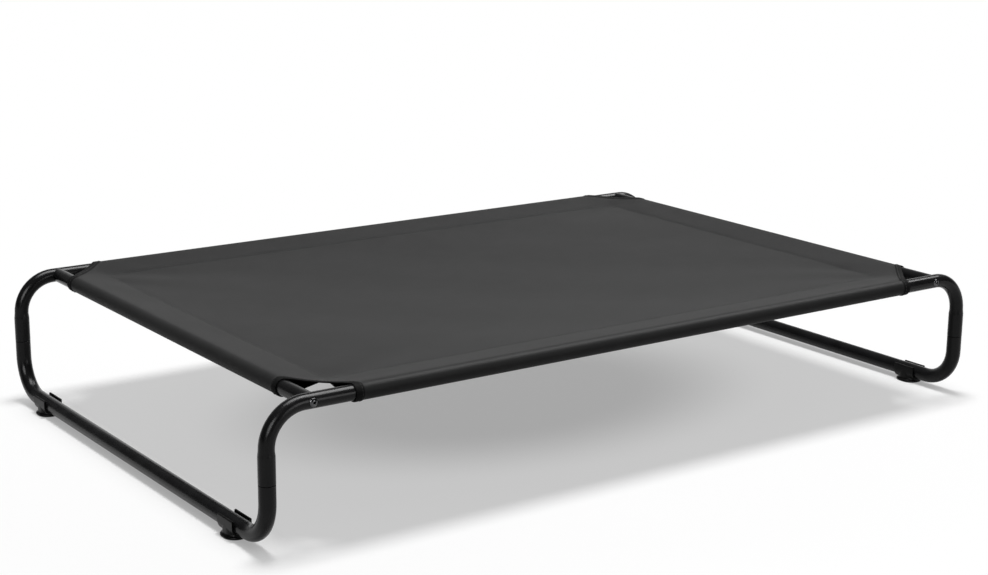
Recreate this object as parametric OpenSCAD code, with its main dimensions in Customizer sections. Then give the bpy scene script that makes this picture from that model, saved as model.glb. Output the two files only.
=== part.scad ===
// Raised dog cot: a cloth sling stretched on a bolted frame of bent steel tube.
// Millimetres, +Z up, +X along the length, +Y to the back; origin on the floor under the middle.

/* [Overall] */
// Length over the legs of the side rails
cot_length = 1249; // [800:1:1500]
// Width over the long rails
cot_width = 803; // [500:1:1000]
// Height from the floor to the top of the rails
cot_height = 201; // [195:1:320]

/* [Steel tube] */
// Outer diameter of the rails' tube
tube_d = 21; // [18:0.5:26]
// How much wider than the rails the base bars are
base_extra = 1.4; // [0:0.1:2]
// Wall thickness of the tube
tube_wall = 1.2; // [0.8:0.1:1.8]
// Radius of every bend, to the tube's centre line
bend_r = 53; // [45:1:62]
// Distance from the end of a bend to the axis of the cross rail
cross_set = 8.5; // [0:0.5:40]
// Clearance between a coped cross rail and the side rail that it meets
cope_gap = 0.1; // [0.05:0.05:0.3]

/* [Leg sockets] */
// Length of the socket below a side rail's bend
socket_len = 43; // [42:1:50]
// How much wider than the tube the socket is swelled
socket_swell = 1.6; // [0.6:0.1:2]
// Length of the cone between the tube and the socket
swell_len = 7; // [3:0.5:8]
// Rounding of the socket's lip
lip_r = 0.9; // [0.4:0.1:1]
// Length of the spigot that stands in the socket
spigot_len = 34; // [20:1:35]
// Clearance round the spigot
spigot_gap = 0.2; // [0.15:0.05:0.4]
// Bevel on the shoulder below the spigot
shoulder_bevel = 0.8; // [0.2:0.1:1]

/* [Corner screws] */
// Diameter of the screw
screw_d = 6; // [4:0.5:7]
// Clearance round the screw in the side rail
screw_gap = 0.25; // [0.15:0.05:0.5]
// Mouth of the dimple that the screw's head lies in
dimple_d = 13; // [10:0.5:14]
// Depth of the dimple
dimple_depth = 3; // [2.5:0.25:4]
// How far the head lies below the mouth of the dimple
head_sink = 0.6; // [0.2:0.1:1]
// Height of the rim round the head
head_rim = 0.2; // [0.1:0.05:0.4]
// Height of the head's domed top above its rim
head_dome = 2.4; // [0.4:0.1:3]
// Clearance round the head
head_gap = 0.12; // [0.08:0.02:0.2]
// Width across the flats of the hexagon in the head
hex_w = 4; // [3:0.5:5]
// Depth of the hexagon in the head
hex_depth = 1.8; // [1:0.1:2.2]
// How far the screw's point stands out of the threaded plug
screw_tail = 3; // [1:0.5:8]

/* [Threaded plugs] */
// Length of the plug in each end of a cross rail
plug_len = 20; // [12:1:40]
// Distance from the side rail to the plug
plug_set = 3; // [1:0.5:10]
// Clearance round the plug
plug_gap = 0.1; // [0.05:0.05:0.3]
// Clearance between the screw and the plug's bore
thread_gap = 0.1; // [0.05:0.05:0.2]

/* [Feet] */
// Height of the base bar's underside above the floor
foot_lift = 5.5; // [4.5:0.5:12]
// Distance from the leg's axis to the middle of the foot
foot_set = 89; // [82:1:200]
// Length of the clip along the base bar
clip_len = 40; // [28:1:60]
// Wall of the clip
clip_wall = 2.8; // [2:0.2:5]
// Clearance between the clip and the tube
clip_gap = 0.15; // [0.1:0.05:0.3]
// Height that the clip's jaws reach above the tube's axis
jaw_rise = 9.5; // [6:0.5:12]
// How far each jaw closes over the tube
jaw_bite = 0.8; // [0.3:0.1:1.2]
// Straight stretch between the round ends of the sole
sole_run = 6; // [2:1:20]
// Overhang of the sole beyond the stem
sole_flare = 3.2; // [2:0.2:6]
// Thickness of the sole at its edge
sole_edge = 3; // [2.6:0.2:4]
// Rounding of the sole's edge
sole_round = 1.2; // [0.6:0.1:1.3]

/* [Cloth sling] */
// Thickness of the cloth
cloth_t = 1; // [0.6:0.1:1.6]
// Clearance between a sleeve and its rail
sleeve_gap = 0.3; // [0.2:0.1:1]
// Distance from a rail's axis to the seam that closes its sleeve
hem_reach = 62; // [40:1:90]
// Width of the stitched band along the seam
stitch_band = 8; // [4:1:16]
// How far the seam lies below the top of the rails
seam_drop = 8; // [2:0.5:14]
// Distance from a cross rail's axis to the ends of the long sleeves
notch_long = 60; // [40:1:80]
// Distance from a side rail's axis to the ends of the short sleeves
notch_short = 65; // [40:1:80]
// Width of the hem along a cut corner
edge_hem_w = 9; // [5:1:16]
// Extra thickness of that hem
edge_hem_t = 0.8; // [0.4:0.1:1.5]
// Depth of the crease where the cloth leaves the round of a rail
crease = 0.15; // [0.1:0.05:0.4]
// How far the middle of the cloth hangs below its seams
sag = 14; // [0:1:40]
// Facets along the length of the hanging panel
panel_cols = 22; // [8:2:30]
// Facets across the width of the hanging panel
panel_rows = 16; // [6:2:24]

/* [Hidden] */
CORNERS = [["front_left", -1, -1], ["front_right", 1, -1], ["back_left", -1, 1], ["back_right", 1, 1]];
$fn = 96;

tube_r = tube_d / 2;
bore_d = tube_d - 2 * tube_wall;
base_d = tube_d + base_extra;
base_r = base_d / 2;
base_bore_r = base_r - tube_wall;
// Axes of the legs, rails and bars
leg_x = cot_length / 2 - tube_r;
rail_y = cot_width / 2 - tube_r;
rail_z = cot_height - tube_r;
bar_z = foot_lift + base_r;
cross_x = leg_x - bend_r - cross_set;
// Height of the joint line between socket and base bar
seam_z = rail_z - bend_r - socket_len;
socket_r = tube_r + socket_swell / 2;
socket_bore_r = socket_r - tube_wall;
spigot_r = socket_bore_r - spigot_gap;
bevel = min(shoulder_bevel, base_r - spigot_r - spigot_gap);
// Screw seat: the dimple narrows to the screw's hole
hole_r = screw_d / 2 + screw_gap;
dimple_slope = (dimple_d / 2 - hole_r) / dimple_depth;
head_r = dimple_d / 2 - dimple_slope * head_sink - head_gap;
head_len = (head_r - screw_d / 2) / dimple_slope;
dome_r = (head_r * head_r + head_dome * head_dome) / (2 * head_dome);
plug_y = rail_y - tube_r - plug_set;
screw_end_y = plug_y - plug_len - screw_tail;
// Foot clip
clip_bore_r = base_r + clip_gap;
clip_r = clip_bore_r + clip_wall;
foot_y = rail_y - foot_set;
// Half the width of the clip's mouth, and the rounding of its jaws' tips
mouth_x = clip_bore_r - jaw_bite;
jaw_tip_r = (clip_r - mouth_x) / 2;
// Cloth: the seam's height above the rail's axis, and the half sizes of the panel inside the seams
seam_v = tube_r - seam_drop;
panel_x = cross_x - hem_reach;
panel_y = rail_y - hem_reach;
sleeve_r = tube_r + sleeve_gap;
// Overrun that lets a cut pass clear through a face
cut = tube_wall;

function tangent(p, r, side) =
    let (a = atan2(p.y, p.x) + side * acos(r / norm(p)))
    [r * cos(a), r * sin(a)];

module mirrored_to(sx, sy) {
    mirror([sx < 0 ? 1 : 0, 0, 0]) mirror([0, sy < 0 ? 1 : 0, 0]) children();
}

// A straight run along X with a quarter bend down at each end, centred on the straight's axis
module bent_run(half, d) {
    straight = half - bend_r;
    rotate([0, 90, 0]) cylinder(h = 2 * straight, d = d, center = true);
    for (s = [-1, 1]) mirror([s < 0 ? 1 : 0, 0, 0])
        translate([straight, 0, -bend_r]) rotate([90, 0, 0])
            rotate_extrude(angle = 90) translate([bend_r, 0]) circle(d = d);
}

// The swelled socket of a side rail, from its lip at zero up to the bend
module socket_outside() {
    rotate_extrude() {
        polygon([
            [0, lip_r], [socket_r, lip_r], [socket_r, socket_len - swell_len],
            [tube_r, socket_len], [0, socket_len]
        ]);
        square([socket_r - lip_r, socket_len / 2]);
        translate([socket_r - lip_r, lip_r]) circle(lip_r);
    }
}

module socket_bore() {
    rotate_extrude() polygon([
        [0, -cut], [socket_bore_r, -cut], [socket_bore_r, socket_len - swell_len],
        [bore_d / 2, socket_len], [0, socket_len]
    ]);
}

// The cup pressed into the rail's outer face, pointing along +Y from its mouth, with walls thicker by grow
module dimple_cone(grow) {
    tip_r = hole_r + grow * (norm([1, dimple_slope]) - dimple_slope);
    run = dimple_depth + cut + grow;
    rotate([-90, 0, 0]) translate([0, 0, -cut])
        cylinder(h = run, r1 = tip_r + dimple_slope * run, r2 = tip_r);
}

module side_rail() {
    color("#1d1e20") translate([0, -rail_y, rail_z]) difference() {
        union() {
            difference() {
                union() {
                    bent_run(leg_x, tube_d);
                    for (s = [-1, 1]) translate([s * leg_x, 0, -bend_r - socket_len]) socket_outside();
                }
                bent_run(leg_x, bore_d);
                for (s = [-1, 1]) translate([s * leg_x, 0, -bend_r - socket_len]) socket_bore();
            }
            for (s = [-1, 1]) intersection() {
                translate([s * cross_x, -tube_r, 0]) dimple_cone(tube_wall);
                bent_run(leg_x, tube_d);
            }
        }
        for (s = [-1, 1]) translate([s * cross_x, -tube_r, 0]) {
            dimple_cone(0);
            rotate([-90, 0, 0]) cylinder(h = tube_d + cut, r = hole_r);
        }
    }
}

module side_rail_front() { side_rail(); }
module side_rail_back() { mirror([0, 1, 0]) side_rail(); }

module cross_rail() {
    color("#1d1e20") difference() {
        translate([-cross_x, 0, rail_z]) rotate([90, 0, 0]) difference() {
            cylinder(h = 2 * rail_y, d = tube_d, center = true);
            cylinder(h = 2 * rail_y + cut, d = bore_d, center = true);
        }
        for (s = [-1, 1]) translate([0, s * rail_y, rail_z]) bent_run(leg_x, tube_d + 2 * cope_gap);
    }
}

module cross_rail_left() { cross_rail(); }
module cross_rail_right() { mirror([1, 0, 0]) cross_rail(); }

// The top of a base bar's leg, from the bend at zero to the end of its spigot
module spigot_outside(leg_len) {
    rotate_extrude() polygon([
        [0, 0], [base_r, 0], [base_r, leg_len - bevel], [base_r - bevel, leg_len],
        [spigot_r, leg_len], [spigot_r, leg_len + spigot_len - tube_wall],
        [spigot_r - tube_wall / 2, leg_len + spigot_len], [0, leg_len + spigot_len]
    ]);
}

module spigot_bore(leg_len) {
    rotate_extrude() polygon([
        [0, 0], [base_bore_r, 0], [base_bore_r, leg_len - 2 * tube_wall],
        [spigot_r - tube_wall, leg_len + tube_wall], [spigot_r - tube_wall, leg_len + spigot_len + cut],
        [0, leg_len + spigot_len + cut]
    ]);
}

module base_bar() {
    leg_len = seam_z - bar_z - bend_r;
    color("#1d1e20") translate([-leg_x, 0, bar_z]) rotate([0, 0, 90]) difference() {
        union() {
            mirror([0, 0, 1]) bent_run(rail_y, base_d);
            for (s = [-1, 1]) translate([s * rail_y, 0, bend_r]) spigot_outside(leg_len);
        }
        mirror([0, 0, 1]) bent_run(rail_y, 2 * base_bore_r);
        for (s = [-1, 1]) translate([s * rail_y, 0, bend_r]) spigot_bore(leg_len);
    }
}

module base_bar_left() { base_bar(); }
module base_bar_right() { mirror([1, 0, 0]) base_bar(); }

module plug() {
    color("#b9bcc0") translate([cross_x, plug_y, rail_z]) rotate([90, 0, 0]) difference() {
        cylinder(h = plug_len, d = bore_d - 2 * plug_gap);
        translate([0, 0, -cut]) cylinder(h = plug_len + 2 * cut, d = screw_d + 2 * thread_gap);
    }
}

module screw() {
    head_y = rail_y + tube_r - head_sink;
    crown = head_rim + head_dome;
    color("#2c2d30") translate([cross_x, head_y, rail_z]) rotate([90, 0, 0]) difference() {
        union() {
            intersection() {
                translate([0, 0, -crown]) cylinder(h = crown, r = head_r);
                translate([0, 0, dome_r - crown]) sphere(dome_r);
            }
            cylinder(h = head_len, r1 = head_r, r2 = screw_d / 2);
            cylinder(h = head_y - screw_end_y, d = screw_d);
        }
        translate([0, 0, -crown - cut]) cylinder(h = crown + cut + hex_depth, d = hex_w / cos(30), $fn = 6);
    }
}

// Half outline of the foot below the clip: a rounded sole that sweeps up into an upright stem
module sole_half() {
    sole_w = clip_r + sole_flare;
    sweep_r = min(sole_flare, bar_z - sole_edge);
    square([sole_w - sole_round, sole_edge]);
    translate([0, sole_round]) square([sole_w, sole_edge - 2 * sole_round]);
    for (v = [sole_round, sole_edge - sole_round]) translate([sole_w - sole_round, v]) circle(sole_round);
    difference() {
        square([clip_r + sweep_r - sole_round / 2, sole_edge + sweep_r]);
        translate([clip_r + sweep_r, sole_edge + sweep_r]) circle(sweep_r);
    }
    square([clip_r, bar_z]);
}

// The clip seen along the bar: round below, with upright jaws that close a little over the tube
module clip_outline() {
    difference() {
        union() {
            circle(clip_r);
            for (s = [-1, 1]) translate([s * (clip_r - jaw_tip_r), 0]) {
                translate([-jaw_tip_r, 0]) square([2 * jaw_tip_r, jaw_rise - jaw_tip_r]);
                translate([0, jaw_rise - jaw_tip_r]) circle(jaw_tip_r);
            }
        }
        circle(clip_bore_r);
        translate([-mouth_x, 0]) square([2 * mouth_x, 2 * clip_r]);
    }
}

module foot() {
    color("#141415") translate([leg_x, foot_y, 0]) {
        translate([0, 0, bar_z]) rotate([90, 0, 0]) linear_extrude(clip_len, center = true) clip_outline();
        difference() {
            union() {
                rotate([90, 0, 0]) linear_extrude(sole_run, center = true) {
                    sole_half();
                    mirror([1, 0]) sole_half();
                }
                for (s = [-1, 1]) translate([0, s * sole_run / 2, 0]) rotate([0, 0, s > 0 ? 0 : 180])
                    rotate_extrude(angle = 180) sole_half();
            }
            translate([0, 0, bar_z]) rotate([90, 0, 0])
                cylinder(h = 2 * clip_len, r = clip_bore_r + clip_wall / 2, center = true);
        }
    }
}

// Outline of a sleeve seen along its rail: round the tube, then in to the seam, which is tip_t thick
module sleeve_outline(r, reach, tip_t) {
    upper = [reach, seam_v + tip_t / 2];
    lower = [reach, seam_v - tip_t / 2];
    circle(r);
    polygon([[0, 0], tangent(upper, r - crease, 1), upper, lower, tangent(lower, r - crease, -1)]);
}

// One long sleeve of cloth, thick by grow, with its ends mitred to the next sleeves
module sleeve_run(rail_half, grow) {
    intersection() {
        rotate([90, 0, 90]) linear_extrude(2 * rail_half, center = true)
            sleeve_outline(sleeve_r + grow, hem_reach, 2 * grow);
        linear_extrude(4 * tube_d, center = true) polygon([
            [-rail_half + hem_reach, hem_reach], [rail_half - hem_reach, hem_reach],
            [rail_half + tube_d, -tube_d], [-rail_half - tube_d, -tube_d]
        ]);
    }
}

// What is cut from the two corners at a sleeve's ends: straight across the rail, then slanting in to the next
// rail. The hem's band reaches further in, by grow.
module corner_cuts(rail_half, along, across, grow) {
    out = 2 * tube_d;
    slant = norm([1 / along, 1 / across]);
    for (s = [-1, 1]) mirror([s < 0 ? 1 : 0, 0, 0]) translate([rail_half, 0, 0])
        linear_extrude(2 * out, center = true) polygon([
            [out, -out], [-along - grow, -out], [-along - grow, across * grow * (slant - 1 / along)],
            [-along * grow * (slant - 1 / across), across + grow], [out, across + grow]
        ]);
}

// A sleeve along X at its rail's axis, the seam towards +Y
module sleeve(rail_half, along, across) {
    color("#39393b") difference() {
        union() {
            sleeve_run(rail_half, cloth_t);
            intersection() {
                sleeve_run(rail_half, cloth_t + edge_hem_t);
                corner_cuts(rail_half, along, across, edge_hem_w);
            }
        }
        corner_cuts(rail_half, along, across, 0);
        rotate([90, 0, 90]) linear_extrude(2 * rail_half + cut, center = true)
            sleeve_outline(sleeve_r, hem_reach - stitch_band, 0);
    }
}

module sleeve_front() { translate([0, -rail_y, rail_z]) sleeve(cross_x, notch_long, notch_short); }
module sleeve_back() { mirror([0, 1, 0]) sleeve_front(); }
module sleeve_left() {
    translate([-cross_x, 0, rail_z]) rotate([0, 0, -90]) sleeve(rail_y, notch_short, notch_long);
}
module sleeve_right() { mirror([1, 0, 0]) sleeve_left(); }

// The panel inside the seams hangs as a shallow dish with straight edges
function panel_drop(i, j) = let (u = 2 * i / panel_cols - 1, v = 2 * j / panel_rows - 1)
    sag * (1 - u * u) * (1 - v * v);
function panel_point(i, j, rise) = [
    panel_x * (2 * i / panel_cols - 1), panel_y * (2 * j / panel_rows - 1),
    rail_z + seam_v + rise - panel_drop(i, j)
];
function panel_quads(base, flip) = [
    for (j = [0 : panel_rows - 1]) for (i = [0 : panel_cols - 1])
        let (a = base + j * (panel_cols + 1) + i, b = a + 1, c = b + panel_cols + 1, d = c - 1)
            for (t = [[a, c, b], [a, d, c]]) flip ? [t[0], t[2], t[1]] : t
];

module sling_panel() {
    layer = (panel_cols + 1) * (panel_rows + 1);
    rim = concat(
        [for (i = [0 : panel_cols - 1]) i],
        [for (j = [0 : panel_rows - 1]) j * (panel_cols + 1) + panel_cols],
        [for (i = [panel_cols : -1 : 1]) panel_rows * (panel_cols + 1) + i],
        [for (j = [panel_rows : -1 : 1]) j * (panel_cols + 1)]
    );
    walls = [
        for (k = [0 : len(rim) - 1])
            let (a = rim[k], b = rim[(k + 1) % len(rim)])
                for (t = [[a, b, b + layer], [a, b + layer, a + layer]]) t
    ];
    color("#434345") polyhedron(
        points = [
            for (rise = [cloth_t / 2, -cloth_t / 2])
                for (j = [0 : panel_rows]) for (i = [0 : panel_cols]) panel_point(i, j, rise)
        ],
        faces = concat(panel_quads(0, false), panel_quads(layer, true), walls)
    );
}

side_rail_front();
side_rail_back();
cross_rail_left();
cross_rail_right();
base_bar_left();
base_bar_right();
sling_panel();
sleeve_front();
sleeve_back();
sleeve_left();
sleeve_right();
for (c = CORNERS) {
    mirrored_to(c[1], c[2]) plug();
    mirrored_to(c[1], c[2]) screw();
    mirrored_to(c[1], c[2]) foot();
}
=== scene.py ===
# %% [markdown]
# # A raised pet cot
# A cloth sling is stretched on a frame of bent black tube. The frame comes from the CAD model and
# stays exactly where it is. Blender's work is the finish of each surface and the cloth, which CAD
# holds only as plain solids. All lengths are in metres, +Z is up, +X runs along the cot and +Y to
# its back.

# %% Load the frame
import math

import bmesh
import bpy
import numpy as np
from mathutils import Matrix, Vector


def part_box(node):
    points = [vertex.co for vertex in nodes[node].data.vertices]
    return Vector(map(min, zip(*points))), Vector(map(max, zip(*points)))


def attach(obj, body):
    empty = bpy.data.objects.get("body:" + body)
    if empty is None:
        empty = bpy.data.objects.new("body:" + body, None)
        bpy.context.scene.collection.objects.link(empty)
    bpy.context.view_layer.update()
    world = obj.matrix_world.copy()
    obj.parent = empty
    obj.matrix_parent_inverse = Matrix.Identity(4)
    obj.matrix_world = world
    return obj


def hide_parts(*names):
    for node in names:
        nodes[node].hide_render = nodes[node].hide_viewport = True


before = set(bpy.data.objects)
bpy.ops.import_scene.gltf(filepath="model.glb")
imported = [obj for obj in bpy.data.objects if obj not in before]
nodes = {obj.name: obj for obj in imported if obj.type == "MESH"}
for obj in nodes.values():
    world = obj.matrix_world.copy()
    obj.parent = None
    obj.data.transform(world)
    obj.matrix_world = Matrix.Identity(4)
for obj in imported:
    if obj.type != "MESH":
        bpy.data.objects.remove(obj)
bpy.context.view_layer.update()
scene = bpy.context.scene

# %% [markdown]
# ## Camera
# The photograph looks down a little on the near left corner. A camera can be aimed by hand, but
# here its place and angles were fitted to the straight tubes in the picture, so they are given as
# numbers and turned into a rotation. The focal length in pixels becomes a lens length for a sensor
# of the usual width.

# %% Camera
image_w = 988
sensor_mm = 36.0
focal_px = 1904.57
camera_place = (-1.6560, -2.3395, 0.8921)
yaw, pitch, roll = 0.6157, 0.2450, -0.0080

level = math.cos(pitch)
forward = Vector((math.sin(yaw) * level, math.cos(yaw) * level, -math.sin(pitch)))
level_right = Vector((math.cos(yaw), -math.sin(yaw), 0.0))
level_down = forward.cross(level_right)
right = level_right * math.cos(roll) + level_down * math.sin(roll)
down = level_down * math.cos(roll) - level_right * math.sin(roll)

camera_data = bpy.data.cameras.new("camera")
camera_data.sensor_width = sensor_mm
camera_data.lens = focal_px * sensor_mm / image_w
camera = bpy.data.objects.new("camera", camera_data)
scene.collection.objects.link(camera)
turned = Matrix((right, -down, -forward)).transposed().to_4x4()
camera.matrix_world = Matrix.Translation(camera_place) @ turned
scene.camera = camera
print("lens", round(camera_data.lens, 2), "mm")

# %% [markdown]
# ## Light
# A studio shot of a dark object on white needs one broad lamp overhead and a dim room around it.
# The lamp hangs high, a little to the right and a little behind the middle, because the shadow
# reaches further out at the left and at the front than at the other sides. Black gloss shows
# little but what it mirrors. Large bright cards could stand around the cot for that, but they
# would light the cloth too, so four distant lamps are there for their reflections alone. Two side
# by side above, as a long softbox would hang, draw the bright band along the crown of each long
# rail. One at the front left draws the streak down the bends, and a weak one low in front lifts
# the face of the front rail.

# %% Light
def hang(name, kind, towards, energy):
    """A lamp that shines on the cot from the direction that towards gives."""
    lamp = bpy.data.lights.new(name, kind)
    lamp.energy = energy
    holder = bpy.data.objects.new(name, lamp)
    holder.rotation_euler = Vector(towards).to_track_quat("Z", "Y").to_euler()
    scene.collection.objects.link(holder)
    print(name, energy, "W" if kind == "AREA" else "W/m2")
    return lamp, holder


def reflection(name, towards, energy, angle):
    """A distant lamp, angle degrees wide, that shows only in what the gloss mirrors."""
    lamp, holder = hang(name, "SUN", towards, energy)
    lamp.angle = math.radians(angle)
    holder.visible_diffuse = False


overhead_place = (0.4, 0.35, 6.0)
lamp, holder = hang("overhead", "AREA", overhead_place, 385.0)
lamp.shape, lamp.size = "DISK", 1.9
holder.location = overhead_place
holder.visible_glossy = False
reflection("crown_reflection_right", (0.52, 0.06, 0.85), 4.10, 34)
reflection("crown_reflection_left", (0.08, 0.06, 0.99), 3.90, 34)
reflection("bend_reflection", (-0.68, -0.57, 0.42), 2.30, 30)
reflection("front_reflection", (0.38, -0.91, 0.20), 0.90, 26)
scene.view_settings.view_transform = "Standard"

# %% [markdown]
# ## Helpers for node materials
# Room, floor and finishes are all small nets of nodes. Writing every link by hand hides what a net
# does, so a few helpers take what repeats: one starts a material, one makes a node with its values
# and links, and two give a grey and a change of range.

# %% Nodes and values
def new_material(name):
    """A material with an empty net of nodes."""
    material = bpy.data.materials.new(name)
    material.use_nodes = True
    net = material.node_tree
    net.nodes.clear()
    return material, net


def add(net, kind, inputs=None, **settings):
    """A new node: settings are its own choices, inputs are values or sockets to link."""
    node = net.nodes.new("ShaderNode" + kind)
    for key, value in settings.items():
        setattr(node, key, value)
    for key, value in (inputs or {}).items():
        if isinstance(value, bpy.types.NodeSocket):
            net.links.new(value, node.inputs[key])
        else:
            node.inputs[key].default_value = value
    return node


def grey(level, tint=0.0):
    """A grey as a colour, with a little more blue where tint is given."""
    return (level, level, level * (1 + tint), 1.0)


def ranged(net, value, to_low, to_high, from_low=0.0, from_high=1.0):
    """The value, moved from one range to another."""
    return add(net, "MapRange", {
        "Value": value, "From Min": from_low, "From Max": from_high,
        "To Min": to_low, "To Max": to_high,
    }).outputs["Result"]


print("node helpers ready")

# %% [markdown]
# ## Room and floor
# The background is white. The world shows white to the camera only, while the light that it gives
# to the cot is that of a dim room with a white backdrop low down behind it. Black tube then stays
# black, and the cloth, which is seen at a low angle, picks up a pale gleam wherever it doesn't tilt
# towards the viewer. The floor shows white to the camera and in what the gloss mirrors, and keeps
# the cot's shadow: part of its brightness is a glow of its own and part is the light that falls on
# it. The glow is painted shade near the cot. It is least under the middle of the cot, a painted
# shadow, and an ambient occlusion node dims it right beside the bars and feet, a painted contact
# shadow, where little light would get in. Further out the floor glows evenly white. A plain white
# floor would need so much light to look white that the cot would be overlit.

# %% Room
low_behind = (0.577, 0.816, -0.80)
room_level, backdrop_level = 0.07, 1.0
backdrop_start, backdrop_full = 0.35, 0.85

room = bpy.data.worlds.new("room")
room.use_nodes = True
net = room.node_tree
net.nodes.clear()
to_camera = add(net, "LightPath").outputs["Is Camera Ray"]
way = add(net, "TexCoord").outputs["Generated"]
behind = add(net, "VectorMath", {0: way, 1: low_behind}, operation="DOT_PRODUCT").outputs["Value"]
glow = ranged(net, behind, room_level, backdrop_level, backdrop_start, backdrop_full)
lit = add(net, "Background", {"Color": grey(1.0), "Strength": glow})
shown = add(net, "Background", {"Color": grey(1.0), "Strength": 1.0})
mixed = add(net, "MixShader", {0: to_camera, 1: lit.outputs[0], 2: shown.outputs[0]})
add(net, "OutputWorld", {"Surface": mixed.outputs[0]})
scene.world = room
print("room of", room_level, "with a backdrop of", backdrop_level)

# %% Floor
floor_half = 30.0
below_feet = 0.0003
square = ((-1, -1), (1, -1), (1, 1), (-1, 1))
floor_mesh = bpy.data.meshes.new("floor")
floor_corners = [(sx * floor_half, sy * floor_half, 0) for sx, sy in square]
floor_mesh.from_pydata(floor_corners, [], [(0, 1, 2, 3)])
floor = bpy.data.objects.new("floor", floor_mesh)
floor.location.z = -below_feet
scene.collection.objects.link(floor)
print("floor", 2 * floor_half, "m wide")

# %% Studio paper
cot_shape = (0.70, 1.0, 0.0)
# The paper's own glow falls off towards the middle of the cot: a painted shadow beneath it.
glow_levels_with_painted_shadow = ((0.16, 0.37), (0.36, 0.55), (0.58, 0.56), (0.85, 1.0))

paper, net = new_material("studio_paper")
place = add(net, "NewGeometry").outputs["Position"]
squashed = add(net, "VectorMath", {0: place, 1: cot_shape}, operation="MULTIPLY").outputs[0]
distance = add(net, "VectorMath", {0: squashed}, operation="LENGTH").outputs["Value"]
glow_with_painted_shadow = add(net, "ValToRGB", {"Fac": distance})
ramp = glow_with_painted_shadow.color_ramp
ramp.interpolation = "EASE"
for n, (position, level) in enumerate(glow_levels_with_painted_shadow):
    element = ramp.elements[n] if n < 2 else ramp.elements.new(position)
    element.position, element.color = position, grey(level)

# Ambient occlusion dims the glow beside the bars and feet: a painted contact shadow.
openness_for_painted_contact_shadow = add(net, "AmbientOcclusion", {"Distance": 0.045}, samples=8).outputs["AO"]
glow_with_painted_contact_shadow = ranged(net, openness_for_painted_contact_shadow, 0.60, 1.0, from_low=0.35, from_high=0.95)
paper_white = add(net, "Emission", {"Color": grey(1.0), "Strength": glow_with_painted_contact_shadow}).outputs[0]
paper_matt = add(net, "BsdfDiffuse", {"Color": grey(0.90)}).outputs[0]
paper_dim = add(net, "BsdfDiffuse", {"Color": grey(0.45)}).outputs[0]
seen = add(net, "MixShader", {0: glow_with_painted_shadow.outputs["Color"], 1: paper_matt, 2: paper_white})

path = add(net, "LightPath").outputs
sharp = path["Is Camera Ray"]
for kind in ("Is Glossy Ray", "Is Transmission Ray"):
    sharp = add(net, "Math", {0: sharp, 1: path[kind]}, operation="MAXIMUM").outputs[0]
mixed = add(net, "MixShader", {0: sharp, 1: paper_dim, 2: seen.outputs[0]})
add(net, "OutputMaterial", {"Surface": mixed.outputs[0]})
floor_mesh.materials.append(paper)
print("paper with", len(glow_levels_with_painted_shadow), "steady levels")

# %% [markdown]
# ## Parts of a finish
# The finishes of the cot are made of the same few parts: a noise, two tones that follow a pattern,
# a fine relief and the surface itself. Each part could be written out in every material, but with
# helpers a material says only what is its own. A value that is the same all over goes straight onto
# the shader.

# %% Parts of a finish
def noise(net, place, scale, detail):
    """A cloudy pattern between 0 and 1."""
    return add(net, "TexNoise", {"Vector": place, "Scale": scale, "Detail": detail}).outputs["Fac"]


def two_tone(net, pattern, dark, light, between=(0.0, 1.0)):
    """A colour that goes from dark to light while the pattern goes from one value to the other."""
    node = add(net, "ValToRGB", {"Fac": pattern})
    for element, position, colour in zip(node.color_ramp.elements, between, (dark, light)):
        element.position, element.color = position, colour
    return node.outputs["Color"]


def relief(net, height, strength, depth, over=None):
    """The normal of a fine relief, on top of the normal that over gives."""
    sockets = {"Height": height, "Strength": strength, "Distance": depth}
    if over is not None:
        sockets["Normal"] = over
    return add(net, "Bump", sockets).outputs["Normal"]


def surface(net, colour, roughness, specular=0.5, metallic=0.0, normal=None):
    """The shader of a finish, joined to the material's output."""
    sockets = {
        "Base Color": colour, "Roughness": roughness,
        "Specular IOR Level": specular, "Metallic": metallic,
    }
    if normal is not None:
        sockets["Normal"] = normal
    shader = add(net, "BsdfPrincipled", sockets)
    add(net, "OutputMaterial", {"Surface": shader.outputs[0]})


print("finish helpers ready")

# %% [markdown]
# ## Powder coat
# The tubes carry a black powder coat. One dark gloss all over would do from afar, but under a lens
# the baked powder shows a fine orange peel, and its gloss changes a little from place to place.
# Noise drives both, in object space, because a bent tube has no tidy flat map.

# %% Powder coat
coat, net = new_material("powder_coat")
place = add(net, "TexCoord").outputs["Object"]
peel = noise(net, place, 620.0, 2.0)
cloud = noise(net, place, 34.0, 4.0)
surface(
    net,
    colour=two_tone(net, cloud, grey(0.0085, 0.04), grey(0.0125, 0.04), between=(0.35, 0.70)),
    roughness=ranged(net, cloud, 0.18, 0.30),
    specular=0.12,
    normal=relief(net, peel, strength=0.05, depth=0.0004),
)
print("powder coat ready")

# %% [markdown]
# ## Feet, screws and plugs
# The feet are moulded rubber, dull, with a fine pebbled skin. The screws are blackened steel that
# has rubbed a little brighter in places, and the plugs inside the cross rails are zinc plated. An
# edge that is quite sharp never catches the light. Small bevels in the meshes would mend that, but
# the CAD meshes stay as they are, so the shading alone of feet and screws is rolled over, by a
# millimetre or less.

# %% Rubber
rubber, net = new_material("moulded_rubber")
place = add(net, "TexCoord").outputs["Object"]
pebble = add(net, "TexVoronoi", {"Vector": place, "Scale": 1100.0}, feature="SMOOTH_F1")
dust = noise(net, place, 90.0, 5.0)
moulded = add(net, "Bevel", {"Radius": 0.0006}, samples=6).outputs["Normal"]
surface(
    net,
    colour=two_tone(net, dust, grey(0.0050), grey(0.0105), between=(0.40, 0.80)),
    roughness=0.36,
    specular=0.10,
    normal=relief(net, pebble.outputs["Distance"], strength=0.20, depth=0.0003, over=moulded),
)
print("rubber ready")

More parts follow.
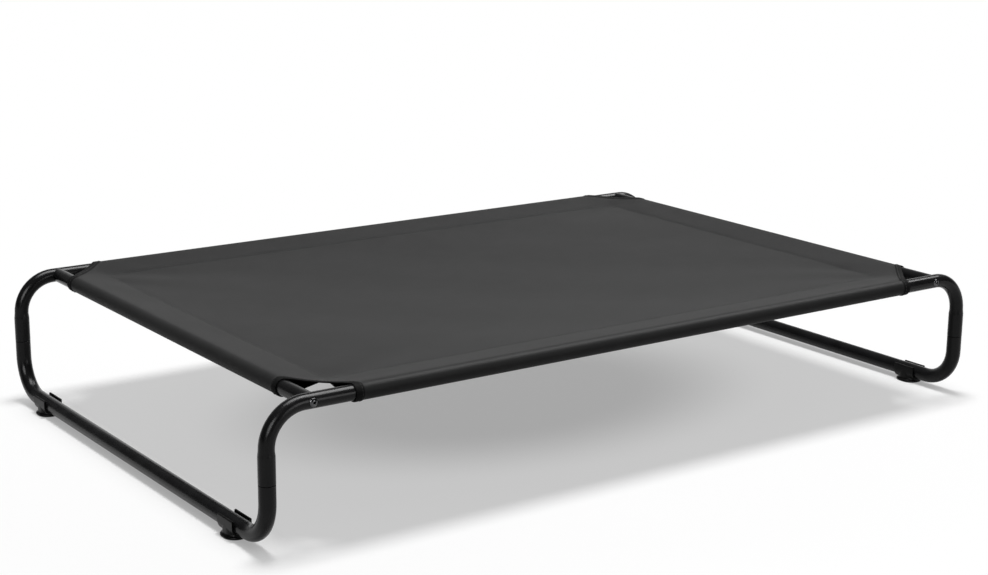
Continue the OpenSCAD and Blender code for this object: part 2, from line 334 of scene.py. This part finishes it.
# %% Blackened and plated steel
blackened, net = new_material("blackened_steel")
place = add(net, "TexCoord").outputs["Object"]
rub = noise(net, place, 420.0, 3.0)
rolled = add(net, "Bevel", {"Radius": 0.0010}, samples=8).outputs["Normal"]
surface(
    net,
    colour=two_tone(net, rub, grey(0.05, 0.05), grey(0.12, 0.02), between=(0.40, 0.75)),
    roughness=0.15,
    metallic=1.0,
    normal=relief(net, rub, strength=0.10, depth=0.0002, over=rolled),
)

plated, net = new_material("zinc_plate")
place = add(net, "TexCoord").outputs["Object"]
spangle = add(net, "TexVoronoi", {"Vector": place, "Scale": 260.0}).outputs["Distance"]
surface(
    net,
    colour=two_tone(net, spangle, grey(0.42, 0.05), grey(0.60, 0.04)),
    roughness=0.38,
    metallic=1.0,
)
print("steel finishes ready")

# %% [markdown]
# ## Dressing the CAD pieces
# A CAD piece whose shape is right keeps its mesh and only changes its material. Each could be
# dressed by its full name, but the first words of a name already say what the piece is, so they
# pick the finish.

# %% Dress the CAD pieces
finishes = {
    "side_rail": coat, "cross_rail": coat, "base_bar": coat,
    "foot": rubber, "screw": blackened, "plug": plated,
}
dressed = 0
for name, node in nodes.items():
    for start, finish in finishes.items():
        if name.startswith(start):
            node.data.materials.clear()
            node.data.materials.append(finish)
            dressed += 1
print("dressed", dressed, "nodes")

# %% [markdown]
# ## Woven cloth
# The sling is a close plain weave with a dull sheen. A plain weave is a chequer: in one square the
# warp lies on top, in the next the weft. A picture of cloth would blur near to, so two sets of
# bands make the yarns and a chequer picks which shows. The pattern needs a flat map, so the mesh
# below carries one in metres, as the cloth was cut. A wave node turns 20 radians in one unit, which
# sets the scale that gives each yarn one band.

# %% Woven cloth
yarn = 0.0011
yarns_per_metre = (1 / yarn, 1 / yarn, 1.0)
one_yarn = 2 * math.pi / 20

cloth, net = new_material("woven_cloth")
flat_map = add(net, "UVMap", uv_map="flat_cut").outputs["UV"]
yarns = add(net, "VectorMath", {0: flat_map, 1: yarns_per_metre}, operation="MULTIPLY").outputs[0]
warp = add(net, "TexWave", {"Vector": yarns, "Scale": one_yarn}, bands_direction="X")
weft = add(net, "TexWave", {"Vector": yarns, "Scale": one_yarn}, bands_direction="Y")
over = add(net, "TexChecker", {
    "Vector": yarns, "Scale": 1.0, "Color1": grey(1.0), "Color2": grey(0.0),
})
weave = add(net, "Mix", {
    "Factor": over.outputs["Fac"], "A": warp.outputs["Fac"], "B": weft.outputs["Fac"],
}).outputs[0]
slub = noise(net, flat_map, 26.0, 6.0)
shade = add(net, "Mix", {"Factor": 0.50, "A": weave, "B": slub}).outputs[0]
surface(
    net,
    colour=two_tone(net, shade, grey(0.0200), grey(0.0300), between=(0.25, 0.75)),
    roughness=0.48,
    specular=0.046,
    normal=relief(net, weave, strength=0.14, depth=0.00025),
)
print("cloth of", round(yarn * 1000, 1), "mm yarn")

# %% [markdown]
# ## Tape and thread
# The slanting cuts are bound with a tape darker than the cloth, and all is sewn with a thread that
# is a little paler. Both are so narrow that their ribs and twist can't be told apart in a picture
# of the whole cot, so a fine noise stands for them.

# %% Binding tape
tape, net = new_material("binding_tape")
flat_map = add(net, "UVMap", uv_map="flat_cut").outputs["UV"]
rib = noise(net, flat_map, 900.0, 3.0)
surface(
    net,
    colour=two_tone(net, rib, grey(0.008), grey(0.016), between=(0.30, 0.70)),
    roughness=0.60,
    specular=0.02,
    normal=relief(net, rib, strength=0.25, depth=0.0003),
)
print("binding tape ready")

# %% Sewing thread
thread, net = new_material("sewing_thread")
place = add(net, "TexCoord").outputs["Object"]
twist = noise(net, place, 1800.0, 1.0)
surface(
    net,
    colour=two_tone(net, twist, grey(0.020), grey(0.046)),
    roughness=0.58,
    specular=0.20,
)
print("thread ready")

# %% [markdown]
# ## The shape of the sling
# The real sling is one cloth. Each edge goes over a rail, round it and back underneath, where it is
# sewn down, and the four corners are cut off on a slant and bound with tape. So the shape follows
# from the rails: a strip falls from the crown of each rail to its seam, a taut cut edge spans each
# corner, and inside the seams the cloth hangs as a shallow dish. A cloth simulation would find much
# the same, but a taut sheet is easier to keep true when its height is written down.

# %% Sizes that the sling takes from the frame
cross_low, cross_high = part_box("cross_rail_left")
side_low, side_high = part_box("side_rail_front")
panel_low, panel_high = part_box("sling_panel")
tube_r = (cross_high.z - cross_low.z) / 2
rail_z = (cross_high.z + cross_low.z) / 2
cross_x = -(cross_low.x + cross_high.x) / 2
rail_y = -(side_low.y + side_high.y) / 2
reach = cross_x - panel_high.x
print("rails at", round(cross_x, 4), round(rail_y, 4), "seams", round(reach, 4), "in from them")

# %% Sizes of the cloth
cloth_t, hem_t = 0.0010, 0.0018
rail_gap, flap_gap = 0.0003, 0.0004
notch_long, notch_short = 0.060, 0.065
stitch_rows = (0.055, 0.060)

sleeve_r = tube_r + rail_gap
slant = math.hypot(1 / notch_long, 1 / notch_short)
sag = panel_high.z - panel_low.z - cloth_t
seam_top = panel_high.z - cloth_t - rail_z
seam_under = seam_top - flap_gap
print("cloth", cloth_t * 1000, "mm thick, sag", round(sag, 4))


# %% Strips between rails and seams
def tangent_angle(away, height, side):
    """Where a straight line from a point away from the rail's axis touches the sleeve's circle."""
    return math.atan2(height, away) + side * math.acos(sleeve_r / math.hypot(away, height))


leave_top = tangent_angle(reach, seam_top, 1)
leave_under = tangent_angle(reach, seam_under, -1) + 2 * math.pi
leave_d, leave_h = sleeve_r * math.cos(leave_top), sleeve_r * math.sin(leave_top)
dent_wide, dent_deep = 0.0014, 0.00025


def strip_height(d):
    """Height above the rail's axis, d inboard of it: round the rail, then straight to the seam."""
    if d <= leave_d:
        return math.sqrt(max(sleeve_r**2 - d * d, 0))
    share = (d - leave_d) / (reach - leave_d)
    dent = sum(math.exp(-(((d - row) / dent_wide) ** 2)) for row in stitch_rows)
    return leave_h + share * (seam_top - leave_h) - dent_deep * dent


leaves = [round(math.degrees(angle)) for angle in (leave_top, leave_under)]
print("cloth leaves the rail at", leaves[0], "and", leaves[1], "degrees")

# %% Pulls and slack
pull_height, pull_folds, pull_lean = 0.0007, 13, 9
pull_start, pull_rise, pull_crest, pull_fade = 0.085, 0.05, 0.13, 0.11
slack_height = 0.0005
wave_x, wave_y, wave_skew = 17, 23, 5
shift_x, shift_y = 1.3, 0.4


def pulls(dx, dy):
    """Faint folds that fan out from a corner, where the cloth is drawn two ways."""
    away = math.hypot(dx, dy)
    rise = min(max((away - pull_start) / pull_rise, 0), 1)
    fade = rise * math.exp(-max(away - pull_crest, 0) / pull_fade)
    return pull_height * fade * math.cos(pull_folds * math.atan2(dy, dx) + pull_lean * away)


def slack(x, y):
    """Slow waves of half a millimetre, because no cloth is drawn quite evenly."""
    across = math.sin(wave_y * y + shift_y + wave_skew * x)
    return slack_height * math.sin(wave_x * x + shift_x) * across


print("pulls of", pull_height * 1000, "mm, slack of", slack_height * 1000, "mm")


# %% Height of the cloth
def inside_cut(dx, dy):
    """Distance inside the slanting cut of a point dx and dy inboard of the rails' axes."""
    return (dx / notch_long + dy / notch_short - 1) / slant


def soft_least(a, b, round_off):
    """The lesser of two distances, with the crease between them rounded off."""
    return (a + b - math.hypot(a - b, round_off)) / 2


edge_dip = 0.010
edge_rise = (reach - edge_dip) / inside_cut(reach, reach)
crease_round = 0.3


def cloth_height(x, y):
    """Height above the floor of the cloth's lower face: a strip near the rails, a dish inside."""
    dx, dy = cross_x - abs(x), rail_y - abs(y)
    round_off = crease_round * (reach - min(dx, dy))
    if round_off > 0:
        from_edge = edge_dip + edge_rise * inside_cut(dx, dy)
        inboard = max(0, soft_least(soft_least(dx, dy, round_off), from_edge, round_off))
        height = strip_height(inboard)
        ease = inboard / reach
    else:
        u, v = x / (cross_x - reach), y / (rail_y - reach)
        height = seam_top - sag * (1 - u * u) * (1 - v * v)
        ease = 1.0
    return rail_z + height + ease * (pulls(dx, dy) + slack(x, y))


print("middle of the cloth at", round(cloth_height(0, 0), 4))

# %% [markdown]
# ## Building the sling
# A plain grid would leave out the cut corners and the sleeves, so the mesh is laid out like the cut
# cloth. A grid covers the top, finer near the rails. Each corner is a fan of lines that follow its
# slanting edge, so that a hem of even width runs along it. Then each edge is carried round its rail
# and back to the seam. Points that two patches share are found by their place and used once.

# %% Grid lines of the cloth
near_lines = [
    0, leave_d, 0.008, 0.016, 0.026, 0.036, 0.046, 0.0505, 0.0533, 0.055, 0.0567, 0.0583, 0.060,
    0.0617, reach, 0.0645, 0.070, 0.079, 0.090,
]
corner = near_lines[-1]
hem_lines = [0, 0.0010, 0.0045, 0.0080, 0.0090]
cells_long, cells_across, cells_fan = 104, 68, 5


def all_lines(half, cells):
    """Lines from one rail's axis to that of the rail across, close together near both."""
    inner = np.linspace(corner - half, half - corner, cells + 1)[1:-1]
    return [d - half for d in near_lines] + list(inner) + [half - d for d in reversed(near_lines)]


def fan_lines(ox, oy):
    """Distances from the corner on the ray to (ox, oy): the cut and its hem, then to the grid."""
    outer = math.hypot(ox, oy)
    edge = outer / (ox / notch_long + oy / notch_short)
    hem = [edge * (1 + h * slant) for h in hem_lines]
    return hem + list(np.linspace(hem[-1], outer, cells_fan + 1)[1:])


lines_x, lines_y = all_lines(cross_x, cells_long), all_lines(rail_y, cells_across)
print("grid of", len(lines_x), "by", len(lines_y), "lines")

# %% Points and faces of the cloth
points, flat_points, hem_weights, faces = [], [], [], []
found = {}
hem_places, hem_shares = [0, 0.0010, 0.0080, 0.0090], [0.45, 1.0, 1.0, 0.0]


def point(place, flat, hem=0.0):
    """The number of the point at a place, and flat is where it lies on the cut cloth."""
    key = tuple(round(c, 6) for c in place)
    if key not in found:
        found[key] = len(points)
        points.append(place)
        flat_points.append(flat)
        hem_weights.append(hem)
    return found[key]


def join(rows):
    """Faces between each row of points and the next, without those that close to a line."""
    for low, high in zip(rows, rows[1:]):
        for a, b, c, d in zip(low, low[1:], high[1:], high):
            if len({a, b, c, d}) > 2:
                faces.append(tuple(dict.fromkeys((a, b, c, d))))


def hem_weight(dx, dy):
    """How much of the hem a point has: less at the cut itself, and none beyond the tape."""
    return float(np.interp(inside_cut(dx, dy), hem_places, hem_shares))


def top(x, y, hem=0.0):
    """A point on the top of the cot."""
    return point((x, y, cloth_height(x, y)), (x, y), hem)


print("hem", hem_places[-1] * 1000, "mm wide")

# %% Top of the cloth
near = len(near_lines)
middle_x, middle_y = lines_x[near - 1:1 - near], lines_y[near - 1:1 - near]
for columns, rows in (
    (middle_x, lines_y),
    (lines_x[:near], middle_y),
    (lines_x[-near:], middle_y),
):
    join([[top(x, y) for x in columns] for y in rows])
print("top grid", len(faces), "faces")

# %% Slanting cuts at the corners
border = [(corner, d) for d in near_lines] + [(d, corner) for d in reversed(near_lines[:-1])]
for sx in (-1, 1):
    for sy in (-1, 1):
        fan = []
        for ox, oy in border:
            outer = math.hypot(ox, oy)
            ray = [(r * ox / outer, r * oy / outer) for r in fan_lines(ox, oy)]
            fan.append([
                top(sx * (cross_x - dx), sy * (rail_y - dy), hem_weight(dx, dy)) for dx, dy in ray
            ])
        join(fan)
print("with corners", len(faces), "faces")

# %% Sleeves round the rails
crown = math.pi / 2
turn_lines, flap_cells = 19, 8
turns = np.linspace(crown, leave_under, turn_lines)
under_d, under_h = sleeve_r * math.cos(leave_under), sleeve_r * math.sin(leave_under)
flap_lines = np.linspace(under_d, reach, flap_cells + 1)[1:]


def under_height(d):
    """Height above the rail's axis of the flap that comes back underneath, d inboard of it."""
    return under_h + (d - under_d) / (reach - under_d) * (seam_under - under_h)


def sleeve(half, notch, ends, lines, place):
    """place(along, d, h, run) is d inboard of the rail's axis, h above it, run from its crown."""
    ends = [r - half for r in ends]
    rows = []
    for along in ends + lines[near:-near] + [-a for a in reversed(ends)]:
        hem = hem_weight((half - abs(along)) / notch * notch_long, 0)
        row = []
        for turn in turns:
            d, h = sleeve_r * math.cos(turn), sleeve_r * math.sin(turn)
            run = sleeve_r * (turn - crown)
            row.append(point(*place(along, d, h, run), hem))
        for d in flap_lines:
            row.append(point(*place(along, d, under_height(d), run + d - under_d), hem))
        rows.append(row)
    join(rows)


for side in (-1, 1):
    def round_side_rail(along, d, h, run):
        return (along, side * (rail_y - d), rail_z + h), (along, side * (rail_y + run))

    def round_cross_rail(along, d, h, run):
        return (side * (cross_x - d), along, rail_z + h), (side * (cross_x + run), along)

    sleeve(cross_x, notch_long, fan_lines(corner, 0), lines_x, round_side_rail)
    sleeve(rail_y, notch_short, fan_lines(0, corner), lines_y, round_cross_rail)
print("with sleeves", len(faces), "faces")

# %% [markdown]
# ## Thickness and hems
# A sheet with no thickness looks like paper at its edges. A second skin could be modelled by hand,
# but Solidify does it evenly. It gives the sheet the cloth's one millimetre on the outside, away
# from the rails, and a weight along the cut edges makes it thicker where the tape is folded over
# them. The result is kept as a plain mesh.

# %% Sling sheet
least_taped = 0.01
sheet_mesh = bpy.data.meshes.new("sling_sheet")
sheet_mesh.from_pydata(points, [], faces)
sheet_mesh.materials.append(cloth)
sheet_mesh.materials.append(tape)
for face in sheet_mesh.polygons:
    face.material_index = int(any(hem_weights[v] > least_taped for v in face.vertices))
cut_map = sheet_mesh.uv_layers.new(name="flat_cut")
for loop in sheet_mesh.loops:
    cut_map.data[loop.index].uv = flat_points[loop.vertex_index]

work = bmesh.new()
work.from_mesh(sheet_mesh)
bmesh.ops.recalc_face_normals(work, faces=work.faces)
middle = min(work.faces, key=lambda f: f.calc_center_median().xy.length)
if middle.normal.z < 0:
    bmesh.ops.reverse_faces(work, faces=work.faces)
work.to_mesh(sheet_mesh)
work.free()

# %% Sling
sling_raw = bpy.data.objects.new("sling_raw", sheet_mesh)
scene.collection.objects.link(sling_raw)
hem_group = sling_raw.vertex_groups.new(name="hem")
for index, weight in enumerate(hem_weights):
    hem_group.add([index], weight, "REPLACE")
thicken = sling_raw.modifiers.new("cloth_thickness", "SOLIDIFY")
thicken.thickness = hem_t
thicken.offset = 1.0
thicken.vertex_group = "hem"
thicken.thickness_vertex_group = cloth_t / hem_t

thickened = sling_raw.evaluated_get(bpy.context.evaluated_depsgraph_get())
sling_mesh = bpy.data.meshes.new_from_object(thickened)
bpy.data.objects.remove(sling_raw)
sling_mesh.shade_smooth()
sling_mesh.set_sharp_from_angle(angle=math.radians(50))
sling = bpy.data.objects.new("sling", sling_mesh)
scene.collection.objects.link(sling)
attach(sling, "frame")
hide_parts("sling_panel", "sleeve_front", "sleeve_back", "sleeve_left", "sleeve_right")
print("sling", len(sling_mesh.polygons), "faces")

# %% [markdown]
# ## Stitches
# Two rows of lock stitch hold each sleeve closed, and one row holds each hem. A picture of stitches
# would look painted on, so each stitch is a small bent bead of thread whose ends go down into the
# cloth. The bead is a list of rings: how far along the stitch, how high above the cloth, how thick.

# %% One stitch
stitch_points, stitch_faces = [], []
bead_sides = 5
bead = [
    (0.00, -0.00025, 0.00018),
    (0.25, 0.00022, 0.00034),
    (0.75, 0.00022, 0.00034),
    (1.00, -0.00025, 0.00018),
]


def stitch(a, b, up):
    """One bead of thread from a to b, standing up out of the cloth."""
    across = (b - a).normalized().cross(up)
    base = len(stitch_points)
    for share, lift, thick in bead:
        centre = a.lerp(b, share) + up * lift
        for k in range(bead_sides):
            turn = 2 * math.pi * k / bead_sides
            out = across * math.cos(turn) + up * math.sin(turn)
            stitch_points.append(centre + out * thick)
    for ring in range(len(bead) - 1):
        start = base + bead_sides * ring
        for k in range(bead_sides):
            p, q = start + k, start + (k + 1) % bead_sides
            stitch_faces.append((p, q, q + bead_sides, p + bead_sides))


print("a stitch has", len(bead), "rings of", bead_sides, "points")

# %% A row of stitches
stitch_len, stitch_pitch = 0.0034, 0.0046
half_gap = 0.13
measuring_points = 60


def sew(line, out):
    """line(s) gives the place at a share s of the row, and out(s) the way out of the cloth."""
    coarse = [Vector(line(s)) for s in np.linspace(0, 1, measuring_points)]
    length = sum((b - a).length for a, b in zip(coarse, coarse[1:]))
    count = int(length / stitch_pitch)
    share = stitch_len / length
    for n in range(count):
        start = (n + half_gap) / count
        up = Vector(out(start + share / 2)).normalized()
        stitch(Vector(line(start)), Vector(line(start + share)), up)
    return count


print("a stitch every", stitch_pitch * 1000, "mm")

# %% Rows along the seams
row_inset = 0.010
fall = (leave_h - seam_top) / (reach - leave_d)


def sew_seam(side, row, over, lengthways):
    """One row of a seam, lengthways or across the cot, over the cloth or under it."""
    half, rail = (cross_x, rail_y) if lengthways else (rail_y, cross_x)
    turn = 1 if over else -1
    lean = -side * fall * turn

    def line(s):
        along, off = (half - row - row_inset) * (2 * s - 1), side * (rail - row)
        x, y = (along, off) if lengthways else (off, along)
        z = cloth_height(x, y) + cloth_t if over else rail_z + under_height(row) - cloth_t
        return x, y, z

    return sew(line, lambda s: (0, lean, turn) if lengthways else (lean, 0, turn))


made = 0
for side in (-1, 1):
    for row in stitch_rows:
        for over in (True, False):
            made += sew_seam(side, row, over, True) + sew_seam(side, row, over, False)
print("seam stitches", made)

# %% Rows along the hems
hem_row = 1 + 0.0066 * slant
hem_x, hem_y = notch_long * hem_row, notch_short * hem_row
cut_start, cut_share = 0.03, 0.94


def around(s):
    """How far inboard of a rail's axis and above it the row lies, at a share s of its way round."""
    turn = crown + s * (leave_under - crown)
    return (sleeve_r + hem_t) * math.cos(turn), (sleeve_r + hem_t) * math.sin(turn)


def sew_hem(sx, sy):
    """The rows of one corner: along its cut, and round the two rails beside it."""
    def cut_row(s):
        s = cut_start + cut_share * s
        x, y = sx * (cross_x - (1 - s) * hem_x), sy * (rail_y - s * hem_y)
        return x, y, cloth_height(x, y) + hem_t

    def round_side_rail(s):
        d, h = around(s)
        return sx * (cross_x - hem_x), sy * (rail_y - d), rail_z + h

    def round_cross_rail(s):
        d, h = around(s)
        return sx * (cross_x - d), sy * (rail_y - hem_y), rail_z + h

    count = sew(cut_row, lambda s: (0, 0, 1))
    count += sew(round_side_rail, lambda s: (0, -sy * around(s)[0], around(s)[1]))
    count += sew(round_cross_rail, lambda s: (-sx * around(s)[0], 0, around(s)[1]))
    return count


for sx in (-1, 1):
    for sy in (-1, 1):
        made += sew_hem(sx, sy)
print("stitches in all", made)

# %% Stitches
stitch_mesh = bpy.data.meshes.new("sling_stitches")
stitch_mesh.from_pydata(stitch_points, [], stitch_faces)
stitch_mesh.shade_smooth()
stitch_mesh.materials.append(thread)
stitches = bpy.data.objects.new("sling_stitches", stitch_mesh)
scene.collection.objects.link(stitches)
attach(stitches, "frame")
print("stitches", len(stitch_mesh.polygons), "faces")
